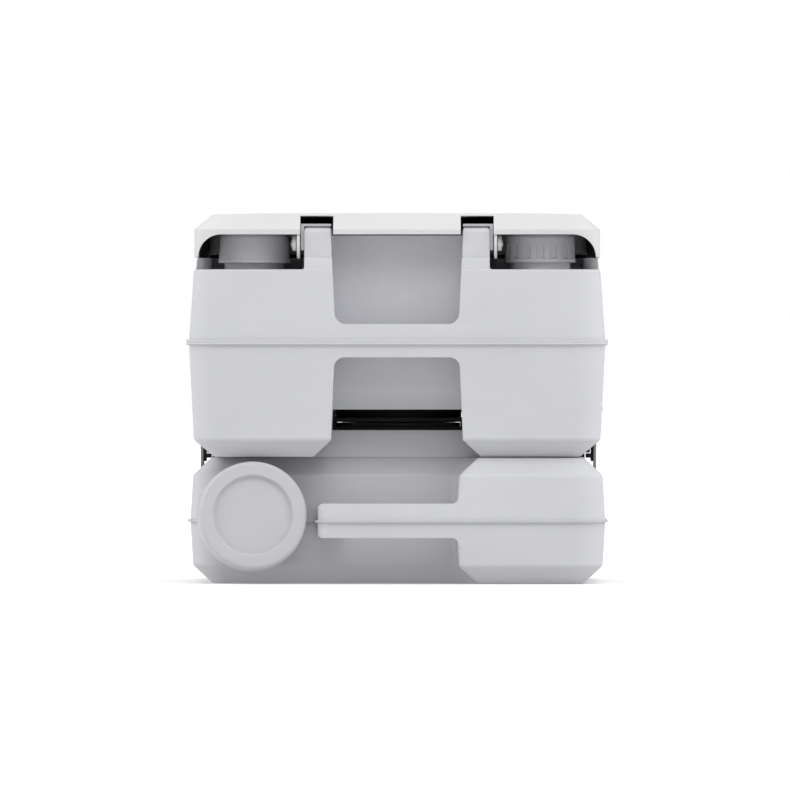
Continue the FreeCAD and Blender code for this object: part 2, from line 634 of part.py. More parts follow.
def make_bowl():
    top, lip = d.flush_top_z, d.bowl_lip_thick
    body = loft(bowl_levels(as_size(0), top))
    tube = put(cylinder(d.outlet_radius, d.bowl_foot_z + 3 - d.outlet_end_z), 0, d.valve_y, d.outlet_end_z)
    rim = prism(bowl_opening(-d.bowl_lip, top, d.bowl_corner + 6), "XY", top, top + lip)
    hollow = loft(bowl_levels(d.bowl_wall, top + lip + PAST))
    bore = put(cylinder(d.outlet_radius - d.bowl_wall - 1.5, 60), 0, d.valve_y, d.outlet_end_z - 10)
    jet = rod(8.3, "Y", 60, 130, 0, 262)
    node("bowl", cut(fuse(body, tube, rim), hollow, bore, jet))
    seal = turned([(d.outlet_radius + 0.4, d.top_plate_top_z), (d.outlet_radius + 9, d.top_plate_top_z),
                   (d.outlet_radius + 9, d.channel_roof_z), (d.outlet_radius + 0.4, d.channel_roof_z)])
    node("bowl_outlet_seal", put(seal, 0, d.valve_y, 0))


def make_flush_nozzle():
    """A short tube through the bowl's rear wall with a fan-shaped lip inside."""
    barrel = rod(8, "Y", 66, 100, 0, 262)
    lip = box(-16, 16, 62, 66, 252, 272)
    collar = rod(11, "Y", 88, 91, 0, 262)
    bore = rod(4.5, "Y", 66, 110, 0, 262)
    slot = box(-13, 13, 61, 70, 257, 260)
    node("flush_nozzle", cut(fuse(barrel, lip, collar), bore, slot))


def hose_path():
    """The hose from the pump's side port across to the nozzle, straight runs with round bends."""
    z = DIMENSIONS["pump_low_z"] + 24
    points = [Vector(DIMENSIONS["cap_x"] - 27, 150, z), Vector(66, 150, z), Vector(28, 142, z + 16),
              Vector(2, 128, 262), Vector(0, 101, 262)]
    edges, last = [], points[0]
    for i in range(1, len(points) - 1):
        way_in = (points[i] - points[i - 1]).normalize()
        way_out = (points[i + 1] - points[i]).normalize()
        turn = way_in.getAngle(way_out)
        reach = 0.42 * min((points[i] - points[i - 1]).Length, (points[i + 1] - points[i]).Length)
        start, stop = points[i] - way_in * reach, points[i] + way_out * reach
        inward = (way_out - way_in).normalize()
        radius = reach / math.tan(turn / 2)
        middle = points[i] + inward * (radius / math.cos(turn / 2) - radius)
        edges += [Part.LineSegment(last, start).toShape(), Part.Arc(start, middle, stop).toShape()]
        last = stop
    edges.append(Part.LineSegment(last, points[-1]).toShape())
    return Part.Wire(edges), points[0]


def make_hose():
    path, start = hose_path()
    tube, bore = (Part.Wire(Part.makeCircle(radius, start, Vector(-1, 0, 0)))
                  for radius in (DIMENSIONS["hose_radius"], DIMENSIONS["hose_bore"]))
    hose = doc.addObject("Part::Feature", "Hose")
    hose.Shape = path.makePipeShell([tube], True, False).cut(path.makePipeShell([bore], True, False))
    node("flush_hose", hose)


def at_pump(solid):
    return put(solid, d.cap_x, d.cap_y, 0)


def make_pump():
    """Press-down bellows pump: a fixed cylinder and collar in a well, with a knob over the bellows."""
    floor, low, radius = d.well_floor_z, d.pump_low_z, d.pump_radius
    body = at_pump(turned([
        (6, low), (radius, low), (radius, floor), (radius + 3, floor), (radius + 3, floor + 2.5),
        (radius - 2, floor + 2.5), (radius - 2, low + 3), (6, low + 3)]))
    port = rod(6.5, "X", d.cap_x - 27, d.cap_x - radius + 1, d.cap_y, low + 24)
    port_bore = rod(4, "X", d.cap_x - 30, d.cap_x - radius + 3, d.cap_y, low + 24)
    node("pump_cylinder", cut(fuse(body, port), port_bore))
    node("pump_check_valve", at_pump(turned([(0, low + 3), (10, low + 3), (10, low + 4.5), (0, low + 4.5)])))
    node("pump_dip_tube", at_pump(turned([
        (4.5, 150), (6, 150), (6, low - 5), (9, low - 5), (9, low), (4.5, low)])))
    neck, top = d.neck_radius, d.collar_top_z
    node("pump_collar", at_pump(turned([
        (radius + 3.2, floor), (neck + 6, floor), (neck + 6, floor + 2.2), (neck, floor + 2.2),
        (neck, top, 1), (radius + 3.2, top)])))
    screws = []
    for k in range(4):
        angle = math.radians(45 + 90 * k)
        head = cylinder(1.6, 1.2)
        spot = ((neck + 3) * math.cos(angle) + d.cap_x, (neck + 3) * math.sin(angle) + d.cap_y)
        screws.append(put(head, *spot, floor + 2.2))
    node("pump_collar_screws", group(*screws))

    rim, high, skin = d.cap_radius, d.knob_top_z, d.knob_wall
    start = d.knob_low_z
    node("pump_knob", at_pump(turned([
        (0, high - skin - 3), (rim - skin, high - skin - 3), (rim - skin, start), (rim + 1.1, start, 0.4),
        (rim + 1.1, start + 3.4, 0.4), (rim + 0.6, start + 3.4), (rim - 1, high, 5), (rim - 7, high, 2),
        (rim - 12, high - 3, 6), (0, high - 3)])))
    folds, foot, peak = 6, floor + 2.5, high - skin - 3
    pitch = (peak - foot) * (1 / folds)
    profile = [(radius - 5, foot)]
    for k in range(folds):
        profile += [(radius + 2, foot + pitch * (k + 0.5)), (radius - 3, foot + pitch * (k + 1))]
    profile += [(radius - 5, peak)]
    for k in reversed(range(folds)):
        profile += [(radius, foot + pitch * (k + 0.5))]
        if k:
            profile += [(radius - 5, foot + pitch * k)]
    node("pump_bellows", at_pump(turned(profile)))


# ---------------------------------------------------------------- fill cap

def make_fill_cap():
    """Screw cap with upright grooves round its skirt, over the filling neck."""
    body = doc.addObject("PartDesign::Body", "FillCap")
    planes = {plane.Role: plane for plane in body.Origin.OriginFeatures}
    low, high, rim, bore = d.cap_low_z, d.cap_top_z, d.cap_radius, d.neck_radius + 0.4
    roof = d.fill_neck_top_z + d.gasket

    def sketch_on(plane, corners, offset=0):
        sketch = body.newObject("Sketcher::SketchObject", "CapSketch")
        sketch.AttachmentSupport = [(planes[plane], "")]
        sketch.MapMode = "FlatFace"
        sketch.AttachmentOffset = FreeCAD.Placement(Vector(0, 0, as_size(offset).value), Rotation())
        if isinstance(offset, Size):
            bind(sketch, ".AttachmentOffset.Base.z", offset)
        return trace(sketch, corners)

    spin = body.newObject("PartDesign::Revolution", "CapBody")
    profile = sketch_on("XZ_Plane", [
        (0, roof), (bore, roof), (bore, low), (rim + 0.4, low, 0.4), (rim + 0.4, d.groove_low_z, 0.3),
        (rim, d.groove_low_z), (rim - 0.4, high, 4), (0, high)])
    spin.Profile = profile
    spin.ReferenceAxis = (profile, ["V_Axis"])
    spin.Angle = 360
    doc.recompute()
    half = d.groove_width * 0.5
    groove = body.newObject("PartDesign::Pocket", "Groove")
    groove.Profile = sketch_on("XZ_Plane", [
        (-half, d.groove_low_z), (half, d.groove_low_z), (half, d.groove_high_z, half * 0.98),
        (-half, d.groove_high_z, half * 0.98)], rim - d.groove_depth)
    groove.Type = "Length"
    groove.Length = 6
    groove.Reversed = True
    doc.recompute()
    ring = body.newObject("PartDesign::PolarPattern", "Grooves")
    ring.Originals = [groove]
    ring.Axis = (planes["Z_Axis"], [""])
    ring.Angle = 360
    bind(ring, "Occurrences", d.groove_count)
    body.Tip = ring
    node("fill_cap", put(body, -d.cap_x, d.cap_y, 0))
    gasket = turned([(0, d.fill_neck_top_z), (d.neck_radius, d.fill_neck_top_z), (d.neck_radius, roof),
                     (0, roof)])
    node("fill_cap_gasket", put(gasket, -d.cap_x, d.cap_y, 0))


# ---------------------------------------------------------------- slide valve

def make_valve():
    """Blade between two plates over the waste tank's mouth, pulled out at the front."""
    x, front, rear = d.valve_x, d.valve_front_y, d.valve_rear_y
    plate = prism(rectangle(-x, x, d.platform_front_y, rear, 6), "XY", d.platform_top_z, d.base_plate_top_z)
    rails = [box(*sided(side, d.rail_x, x), front, rear, d.base_plate_top_z, d.top_plate_low_z)
             for side in SIDES.values()]
    port = put(cylinder(d.port_radius, 30), 0, d.valve_y, d.platform_top_z - 5)
    node("valve_base_plate", cut(fuse(plate, *rails), port))
    cover = prism(rectangle(-x, x, front, rear, 6), "XY", d.top_plate_low_z, d.top_plate_top_z)
    seat = put(cylinder(d.port_radius + 4, 30), 0, d.valve_y, d.platform_top_z)
    node("valve_top_plate", cut(cover, seat))
    seal = turned([(d.port_radius - 3, d.blade_high_z + 0.2), (d.port_radius + 3.8, d.blade_high_z + 0.2),
                   (d.port_radius + 3.8, d.top_plate_top_z), (d.port_radius, d.top_plate_top_z)])
    node("valve_lip_seal", put(seal, 0, d.valve_y, 0))

    blade = rectangle(-d.blade_x, d.blade_x, front + 4, rear - 1, 14)
    node("valve_blade", prism(blade, "XY", d.blade_low_z, d.blade_high_z))
    node("valve_rod", box(-12, 12, d.handle_back_y, front + 4, d.blade_low_z, d.blade_high_z))
    grip = prism([(-d.handle_x, 116, 8), (d.handle_x, 116, 8), (d.handle_x, 144, 10), (-d.handle_x, 144, 10)],
                 "XZ", d.handle_front_y, d.handle_back_y)
    scoop = prism([(-30, 121, 5), (30, 121, 5), (30, 131, 4.9), (-30, 131, 4.9)],
                  "XZ", d.handle_front_y - 2, d.handle_back_y + 2)
    node("valve_pull_handle", cut(grip, scoop))
    spots = [(side * (x - 4.2), y) for side in SIDES.values() for y in (-64, -10, 42)]
    node("valve_screws", group(*[put(cylinder(3, 1.8), sx, y, d.top_plate_top_z) for sx, y in spots]))


# ---------------------------------------------------------------- side latches

def make_latch(name, side):
    """A lever with a hook inside it, hung on a pin in the flush tank, and a catch on the waste tank."""
    def across(near, far):
        return sided(side, near, far)

    pivot_x, pivot_z = d.latch_pivot_x * side, d.latch_pivot_z
    half = d.lever_half
    plate = box(*across(d.lever_inner_x, d.lever_outer_x), -half, half, d.lever_low_z, pivot_z)
    knuckle = rod(d.knuckle_radius, "Y", -half, half, pivot_x, pivot_z)
    eye = rod(d.latch_pin_radius + d.pin_gap, "Y", -half - 2, half + 2, pivot_x, pivot_z)
    node(f"latch_lever_{name}", cut(fuse(plate, knuckle), eye))

    half = d.hook_half
    strip = box(*across(d.hook_inner_x, d.lever_inner_x), -half, half, d.tooth_low_z - 3, pivot_z - 8)
    tooth = box(*across(d.tooth_x, d.hook_inner_x + 0.2), -half, half, d.tooth_low_z, d.tooth_high_z)
    node(f"latch_hook_{name}", fuse(strip, tooth))
    node(f"latch_pin_{name}", rod(d.latch_pin_radius, "Y", -d.latch_half - 4, d.latch_half + 4,
                                  pivot_x, pivot_z))
    stem = box(*across(d.latch_floor_x + 0.3, d.catch_stem_x), -half - 2, half + 2, d.latch_low_z,
               d.catch_top_z)
    lip = box(*across(d.latch_floor_x + 0.3, d.catch_lip_x), -half - 2, half + 2, d.catch_lip_z,
              d.catch_top_z)
    foot = box(*across(d.latch_floor_x + 0.3, d.catch_lip_x), -half - 2, half + 2, d.latch_low_z,
               d.latch_low_z + 2.5)
    node(f"latch_catch_{name}", fuse(stem, lip, foot))


def make_latches():
    for name, side in SIDES.items():
        make_latch(name, side)
    heads = [put(cylinder(1.8, 1.4), side * (d.catch_lip_x - 2.2), y, d.latch_low_z + 2.5)
             for side in SIDES.values() for y in (-6, 6)]
    node("latch_catch_screws", group(*heads))


# ---------------------------------------------------------------- hinge, seat and lid

def make_hinge():
    """The pins, and a cover over each post that also spaces the lid's ear from it."""
    for name, side in SIDES.items():
        top = box(*sided(side, d.post_inner_x + 0.6, d.post_outer_x + 3), d.recess_y + 3, d.post_rear_y - 1,
                  d.post_top_z, d.post_top_z + 2.2)
        cheek = box(*sided(side, d.post_outer_x, d.post_outer_x + 3), d.hinge_y - 11, d.post_rear_y - 1,
                    d.hinge_z - 6.2, d.post_top_z + 2.2)
        hole = rod(d.pin_radius + d.pin_gap, "X", *sided(side, d.post_inner_x, d.post_outer_x + 5),
                   d.hinge_y, d.hinge_z)
        node(f"hinge_cover_{name}", cut(fuse(top, cheek), hole))
        shaft = rod(d.pin_radius, "X", *sided(side, d.post_inner_x + 2, d.arm_outer_x + 0.4),
                    d.hinge_y, d.hinge_z)
        head = rod(d.pin_radius + 1, "X", *sided(side, d.arm_outer_x + 0.3, d.arm_outer_x + 1.2),
                   d.hinge_y, d.hinge_z)
        node(f"hinge_pin_{name}", fuse(shaft, head))


def seat_ring(inset, corner):
    x = d.seat_x - inset
    front, rear = d.seat_front_y + inset, d.seat_rear_y - inset
    return [(-x, front, corner), (x, front, corner), (x, rear, 24), (-x, rear, 24)]


def seat_hole(grow, corner):
    x = d.seat_hole_x + grow
    return rectangle(-x, x, d.seat_hole_front_y - grow, d.seat_hole_rear_y + grow, corner)


def make_seat():
    """A hollow ring with an outer and an inner skirt, and two arms that reach back to the hinge."""
    low, edge, top, wall = d.seat_low_z, d.seat_edge_z, d.seat_top_z, d.seat_wall
    outer = loft([(low, seat_ring(as_size(0), 62)), (edge, seat_ring(as_size(1.6), 60)),
                  (top - 2, seat_ring(as_size(5.5), 56)), (top, seat_ring(as_size(11), 50))])
    under = loft([(low - PAST, seat_ring(wall, 59)), (edge, seat_ring(wall + 1.6, 57)),
                  (top - wall, seat_ring(wall + 9, 50))])
    hole = loft([(low - 5, seat_hole(as_size(0), 84)), (top - 5, seat_hole(as_size(0), 84)),
                 (top - 1.5, seat_hole(as_size(2), 85)), (top + 1, seat_hole(as_size(8), 90))])
    inner_skirt = loft([(low - 5, seat_hole(wall, 86)), (top - wall, seat_hole(wall, 86)),
                        (top + 6, seat_hole(wall + 2, 87))])
    ring = cut(outer, cut(under, inner_skirt), hole)
    arms = []
    for side in SIDES.values():
        x0, x1 = sided(side, d.arm_inner_x, d.arm_outer_x)
        arms.append(prism([(d.seat_rear_y - 6, d.hinge_z - 6.6), (d.hinge_y, d.hinge_z - 6.6),
                           (d.hinge_y, d.hinge_z + 6.6), (d.seat_rear_y - 6, d.arm_high_z)], "YZ", x0, x1))
        arms.append(rod(6.6, "X", x0, x1, d.hinge_y, d.hinge_z))
    holes = [rod(d.pin_radius + d.pin_gap, "X", *sided(side, d.arm_inner_x - 3, d.arm_outer_x + 3),
                 d.hinge_y, d.hinge_z) for side in SIDES.values()]
    node("seat", cut(fuse(ring, *arms), *holes))
    pads = []
    for side in SIDES.values():
        for y in (-120, 60):
            pads.append(box(*sided(side, d.seat_x - 7, d.seat_x - 0.3), y, y + 18, d.flush_top_z + 0.1, low))
    node("seat_bumpers", group(*pads))


def lid_plan(inset, corner):
    x, y = d.lid_x - inset, d.lid_y - inset
    return rectangle(-x, x, -y, y, corner)


def make_lid():
    """A shallow tray turned over, its rear wall open over the caps and notched for the hinge posts."""
    low, edge, shoulder, top = d.lid_low_z, d.lid_edge_z, d.lid_shoulder_z, d.lid_top_z
    skirt, plate = d.lid_skirt, d.lid_plate
    outer = loft([(low, lid_plan(as_size(0), 27)), (edge, lid_plan(as_size(0), 27)),
                  (shoulder, lid_plan(d.lid_slope, 14)), (top, lid_plan(d.lid_crown, 10))])
    inner = loft([(low - PAST, lid_plan(skirt, 23.5)), (edge - skirt * BEVEL, lid_plan(skirt, 23.5)),
                  (shoulder - plate, lid_plan(d.lid_slope + 1.4, 12.6)),
                  (top - plate, lid_plan(d.lid_crown, 10))])
    arch = prism([(-d.arch_x, low - 10), (d.arch_x, low - 10), (d.arch_x, d.lip_low_z, d.arch_corner),
                  (-d.arch_x, d.lip_low_z, d.arch_corner)], "XZ", d.recess_y, HALF_Y + FAR)
    notches, ears, holes = [], [], []
    for side in SIDES.values():
        notches.append(box(*sided(side, d.notch_inner_x, d.notch_outer_x), d.notch_front_y, HALF_Y + FAR,
                           low, d.notch_top_z))
        x0, x1 = sided(side, d.ear_inner_x, d.ear_outer_x)
        ears.append(rod(d.ear_radius, "X", x0, x1, d.hinge_y, d.hinge_z))
        ears.append(box(x0, x1, d.hinge_y - 13, d.hinge_y - 2, d.hinge_z, top - plate + 0.4))
        holes.append(rod(d.pin_radius + d.pin_gap, "X", *sided(side, d.ear_inner_x - 3, d.ear_outer_x + 3),
                         d.hinge_y, d.hinge_z))
    node("lid", cut(fuse(cut(outer, inner, arch, *notches), *ears), *holes))
    pads = []
    for side in SIDES.values():
        for y in (-130, 70):
            pads.append(put(cylinder(5, top - plate - d.seat_top_z - 0.3), 108 * side, y,
                            d.seat_top_z + 0.3))
    node("lid_bumpers", group(*pads))


# ---------------------------------------------------------------- build, check and write

make_waste_tank()
make_spout()
make_valve()
make_flush_lower()
make_flush_upper()
make_bowl()
make_flush_nozzle()
make_hose()
make_pump()
make_fill_cap()
make_latches()
make_hinge()
make_seat()
make_lid()
doc.recompute()

failed = [thing.Label for thing in doc.Objects if {"Invalid", "Error"} & set(thing.State)]
failed += [thing.Label for thing in NODES if thing.Shape.isNull() or not thing.Shape.isValid()]
if failed:
    raise SystemExit(f"failed objects: {failed}")

os.makedirs("parts", exist_ok=True)
for thing in NODES:
    thing.Shape.exportStep(os.path.join("parts", thing.Label + ".step"))
    bounds = thing.Shape.BoundBox
    print(f"{thing.Label:26} solids {len(thing.Shape.Solids)} volume {thing.Shape.Volume / 1000:8.1f} cm3"
          f"  x {bounds.XMin:7.1f} {bounds.XMax:7.1f}  y {bounds.YMin:7.1f} {bounds.YMax:7.1f}"
          f"  z {bounds.ZMin:6.1f} {bounds.ZMax:6.1f}")
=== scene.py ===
"""Looks for the portable camp toilet: moulded-plastic skins over the CAD frame, studio light, camera."""
import json
import math

import bmesh
import bpy
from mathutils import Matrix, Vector


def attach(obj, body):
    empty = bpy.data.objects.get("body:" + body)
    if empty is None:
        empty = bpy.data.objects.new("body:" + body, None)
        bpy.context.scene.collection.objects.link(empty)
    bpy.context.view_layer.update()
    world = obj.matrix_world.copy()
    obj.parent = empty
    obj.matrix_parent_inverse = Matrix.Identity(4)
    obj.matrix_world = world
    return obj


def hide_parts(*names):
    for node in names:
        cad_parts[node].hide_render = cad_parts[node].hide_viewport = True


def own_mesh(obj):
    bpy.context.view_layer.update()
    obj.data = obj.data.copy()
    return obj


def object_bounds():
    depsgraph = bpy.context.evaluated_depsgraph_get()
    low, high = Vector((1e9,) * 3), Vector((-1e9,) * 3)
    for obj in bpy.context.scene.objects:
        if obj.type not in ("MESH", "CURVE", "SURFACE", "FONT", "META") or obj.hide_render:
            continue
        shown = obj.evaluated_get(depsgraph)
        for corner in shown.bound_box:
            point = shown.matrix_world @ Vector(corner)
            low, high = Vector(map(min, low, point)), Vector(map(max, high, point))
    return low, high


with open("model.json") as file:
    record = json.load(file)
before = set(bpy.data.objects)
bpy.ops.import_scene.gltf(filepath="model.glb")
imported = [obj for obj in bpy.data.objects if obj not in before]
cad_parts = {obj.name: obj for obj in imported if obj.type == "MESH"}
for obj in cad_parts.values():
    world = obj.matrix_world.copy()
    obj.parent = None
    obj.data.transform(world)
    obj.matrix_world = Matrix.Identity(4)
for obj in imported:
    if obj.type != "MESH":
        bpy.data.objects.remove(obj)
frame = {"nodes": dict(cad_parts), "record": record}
cad_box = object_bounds()
NODES = frame["nodes"]
SCENE = bpy.context.scene
BEHAVIOUR = frame["record"]["behaviour"]
BODY_OF = {node: body for body, nodes in BEHAVIOUR["bodies"].items() for node in nodes}
SLOT_OF = {part["node"]: part["material_slot"] for part in frame["record"]["subparts"]}
MM = 0.001
SHARP = math.radians(38)  # the skins' edges that stay sharp to the eye bend more than this
CAD_SHARP = math.radians(35)  # and those of the CAD nodes shown as they are


def set_range(node, low, high, start, stop):
    """A Map Range node takes low..high to start..stop."""
    for name, number in zip(("From Min", "From Max", "To Min", "To Max"), (low, high, start, stop)):
        node.inputs[name].default_value = number


# ---------------------------------------------------------------- materials

class Maker:
    """Builds one material's nodes; each method adds a node and returns its output."""

    def __init__(self, name):
        self.material = bpy.data.materials.new(name)
        self.material.use_nodes = True
        self.tree = self.material.node_tree
        self.shader = self.tree.nodes["Principled BSDF"]
        self.place = self.add("ShaderNodeTexCoord").outputs["Object"]

    def add(self, kind, **inputs):
        node = self.tree.nodes.new(kind)
        for name, value in inputs.items():
            self.feed(node.inputs[name.replace("_", " ")], value)
        return node

    def feed(self, socket, value):
        if isinstance(value, bpy.types.NodeSocket):
            self.tree.links.new(value, socket)
        else:
            socket.default_value = value

    def noise(self, scale, detail=2.0, rough=0.5, stretch=None):
        """Object-space noise with scale features to the metre; stretch makes streaks."""
        place = self.place
        if stretch:
            mapping = self.add("ShaderNodeMapping", Vector=place)
            mapping.inputs["Scale"].default_value = stretch
            place = mapping.outputs[0]
        return self.add("ShaderNodeTexNoise", Vector=place, Scale=scale, Detail=detail,
                        Roughness=rough).outputs["Fac"]

    def ramp(self, value, low, high, start=0.0, stop=1.0):
        """The value's stretch from low to high becomes start to stop, and holds beyond."""
        node = self.add("ShaderNodeMapRange", Value=value)
        set_range(node, low, high, start, stop)
        return node.outputs["Result"]

    def mix(self, share, first, second):
        """The first colour turning into the second as share goes from 0 to 1."""
        node = self.tree.nodes.new("ShaderNodeMix")
        node.data_type = "RGBA"
        self.feed(node.inputs[0], share)
        self.feed(node.inputs[6], first)
        self.feed(node.inputs[7], second)
        return node.outputs[2]

    def maths(self, operation, first, second):
        node = self.tree.nodes.new("ShaderNodeMath")
        node.operation = operation
        self.feed(node.inputs[0], first)
        self.feed(node.inputs[1], second)
        return node.outputs[0]

    def edges(self):
        """1 on worn convex edges, 0 elsewhere."""
        return self.ramp(self.add("ShaderNodeNewGeometry").outputs["Pointiness"], 0.52, 0.60)

    def hollows(self):
        """1 in concave corners, where shade is painted in."""
        return self.ramp(self.add("ShaderNodeNewGeometry").outputs["Pointiness"], 0.48, 0.40)

    def rounding(self, radius):
        """The normal of edges and corners softened over a radius, as a mould's are."""
        node = self.add("ShaderNodeBevel", Radius=radius)
        node.samples = 6
        return node.outputs[0]

    def bump(self, height, depth, distance, below=None):
        node = self.add("ShaderNodeBump", Strength=depth, Distance=distance, Height=height)
        if below is not None:
            self.feed(node.inputs["Normal"], below)
        return node.outputs[0]


def rgba(colour, gain=1.0):
    """A colour made darker or lighter by gain, with full alpha."""
    return (*[min(1.0, channel * gain) for channel in colour], 1.0)


def moulded_plastic(name, colour, rough, grain=1500, grain_depth=0.1, specular=0.4, scuffs=0.5, soft=1.0):
    """Injection-moulded polymer: fine spark-eroded grain, faint flow clouds, scuffed edges, painted shade in
    concave corners, tinted warm.
    """
    m = Maker(name)
    clouds = m.noise(9, 3.0, 0.55)
    flow = m.noise(26, 2.0, 0.5, (1.0, 1.0, 3.2))
    base = m.mix(m.ramp(clouds, 0.35, 0.65), rgba(colour, 0.975), rgba(colour, 1.02))
    base = m.mix(m.ramp(flow, 0.45, 0.8, 0.0, 0.35), base, rgba(colour, 1.035))
    speckle = m.noise(grain, 1.0, 0.5)
    base = m.mix(m.ramp(speckle, 0.40, 0.60, 0.0, 0.16), base, rgba(colour, 0.90))
    rubbed = m.maths("MULTIPLY", m.edges(), m.ramp(m.noise(60, 3.0, 0.6), 0.42, 0.62, 0.2, 1.0))
    base = m.mix(m.maths("MULTIPLY", rubbed, 0.45 * scuffs), base, rgba(colour, 1.12))
    # painted shade: concave corners turned darker and slightly warmer
    shaded_corners = m.maths("MULTIPLY", m.hollows(), m.ramp(m.noise(34, 3.0, 0.6), 0.35, 0.65, 0.3, 1.0))
    corner_shade_tone = [channel * share for channel, share in zip(colour, (0.82, 0.80, 0.77))]
    base = m.mix(m.maths("MULTIPLY", shaded_corners, 0.30), base, rgba(corner_shade_tone))
    m.feed(m.shader.inputs["Base Color"], base)
    scratch = m.ramp(m.noise(150, 2.0, 0.7, (1.0, 1.0, 14.0)), 0.62, 0.74)
    sheen = m.ramp(m.noise(14, 3.0, 0.6), 0.3, 0.7, rough - 0.05, rough + 0.06)
    m.feed(m.shader.inputs["Roughness"], m.maths("SUBTRACT", sheen, m.maths("MULTIPLY", scratch, 0.05)))
    peel = m.bump(m.noise(210, 2.0, 0.5), 0.05, 0.0004, m.rounding(soft * MM))
    m.feed(m.shader.inputs["Normal"], m.bump(speckle, grain_depth, 0.0003, peel))
    m.shader.inputs["Specular IOR Level"].default_value = specular
    return m.material


def rubber(name, colour, rough=0.75):
    """Moulded rubber or soft tube: cloudy bloom, paler worn edges, fine tooth."""
    m = Maker(name)
    bloom = m.noise(40, 4.0, 0.6)
    base = m.mix(m.ramp(bloom, 0.35, 0.7), rgba(colour), rgba(colour, 1.9))
    base = m.mix(m.maths("MULTIPLY", m.edges(), 0.4), base, rgba(colour, 3.2))
    m.feed(m.shader.inputs["Base Color"], base)
    m.feed(m.shader.inputs["Roughness"], m.ramp(m.noise(90, 2.0, 0.5), 0.3, 0.7, rough - 0.08, rough + 0.08))
    m.feed(m.shader.inputs["Normal"], m.bump(m.noise(900, 2.0, 0.6), 0.16, 0.0003))
    m.shader.inputs["Specular IOR Level"].default_value = 0.3
    return m.material


def plated_steel(name, colour, rough=0.3):
    """Plated steel: brushed along X, with a few dull brownish patches."""
    m = Maker(name)
    brushed = m.noise(420, 2.0, 0.6, (1.0, 12.0, 12.0))
    base = m.mix(m.ramp(brushed, 0.35, 0.65), rgba(colour, 0.85), rgba(colour, 1.08))
    base = m.mix(m.ramp(m.noise(70, 4.0, 0.6), 0.60, 0.75, 0.0, 0.35), base, rgba((0.30, 0.25, 0.2)))
    m.feed(m.shader.inputs["Base Color"], base)
    m.feed(m.shader.inputs["Roughness"], m.ramp(m.noise(130, 3.0, 0.6), 0.3, 0.7, rough - 0.08, rough + 0.15))
    m.feed(m.shader.inputs["Normal"], m.bump(brushed, 0.06, 0.0002))
    m.shader.inputs["Metallic"].default_value = 1.0
    return m.material


GREY = (0.560, 0.564, 0.590)
MATERIALS = {
    "tank_plastic": moulded_plastic("tank_plastic", GREY, 0.52, soft=1.3),
    "cap_plastic": moulded_plastic("cap_plastic", (0.500, 0.502, 0.528), 0.46, grain=1700, grain_depth=0.07),
    "lid_plastic": moulded_plastic("lid_plastic", (0.615, 0.616, 0.620), 0.44, grain=1800, grain_depth=0.06),
    "bowl_plastic": moulded_plastic("bowl_plastic", (0.72, 0.72, 0.72), 0.22, 2400, 0.02, 0.5, 0.2),
    "rubber": rubber("rubber", (0.022, 0.022, 0.023)),
    "valve_plastic": moulded_plastic("valve_plastic", (0.045, 0.046, 0.050), 0.45, grain=1500),
    "handle_plastic": moulded_plastic("handle_plastic", (0.26, 0.262, 0.28), 0.48, grain=1400),
    "hinge_plastic": moulded_plastic("hinge_plastic", (0.42, 0.424, 0.45), 0.5, grain=1500),
    "black_plastic": moulded_plastic("black_plastic", (0.012, 0.012, 0.013), 0.42, grain=1500),
    "hose": rubber("hose", (0.36, 0.36, 0.33), 0.45),
    "steel": plated_steel("steel", (0.42, 0.42, 0.44)),
}


def dress(piece, slot):
    """The piece wears one slot's material."""
    piece.data.materials.clear()
    piece.data.materials.append(MATERIALS[slot])


# ---------------------------------------------------------------- skins

def finished_mesh(piece):
    """The piece's mesh with its modifiers applied."""
    graph = bpy.context.evaluated_depsgraph_get()
    mesh = bpy.data.meshes.new_from_object(piece.evaluated_get(graph))
    piece.modifiers.clear()
    piece.data = mesh


def welded(mesh, flat=0.6):
    """Joins the triangles of each flat face into one, so that a bevel runs along real edges only."""
    bm = bmesh.new()
    bm.from_mesh(mesh)
    bmesh.ops.remove_doubles(bm, verts=bm.verts, dist=0.004 * MM)
    bmesh.ops.dissolve_limit(bm, angle_limit=math.radians(flat), verts=bm.verts, edges=bm.edges,
                             use_dissolve_boundaries=False, delimit=set())
    bmesh.ops.dissolve_degenerate(bm, edges=bm.edges, dist=0.002 * MM)
    bm.to_mesh(mesh)
    bm.free()


def skin(node, radius, body=None):
    """A copy of a CAD node with its edges rounded as moulded plastic has them; it stands for the node.

    It rides on the node's own body, or on the one named.
    """
    mesh = NODES[node].data.copy()
    welded(mesh)
    piece = bpy.data.objects.new(node + "_skin", mesh)
    SCENE.collection.objects.link(piece)
    bevel = piece.modifiers.new("rounding", "BEVEL")
    bevel.width = radius * MM
    bevel.segments = 3
    bevel.limit_method = "ANGLE"
    bevel.angle_limit = math.radians(30)
    bevel.use_clamp_overlap = True
    bevel.miter_outer = "MITER_ARC"
    finished_mesh(piece)
    piece.data.shade_smooth()
    piece.data.set_sharp_from_angle(angle=SHARP)
    normals = piece.modifiers.new("even_normals", "WEIGHTED_NORMAL")
    normals.keep_sharp = True
    normals.weight = 80
    finished_mesh(piece)
    dress(piece, SLOT_OF[node])
    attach(piece, body or BODY_OF[node])
    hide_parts(node)
    return piece


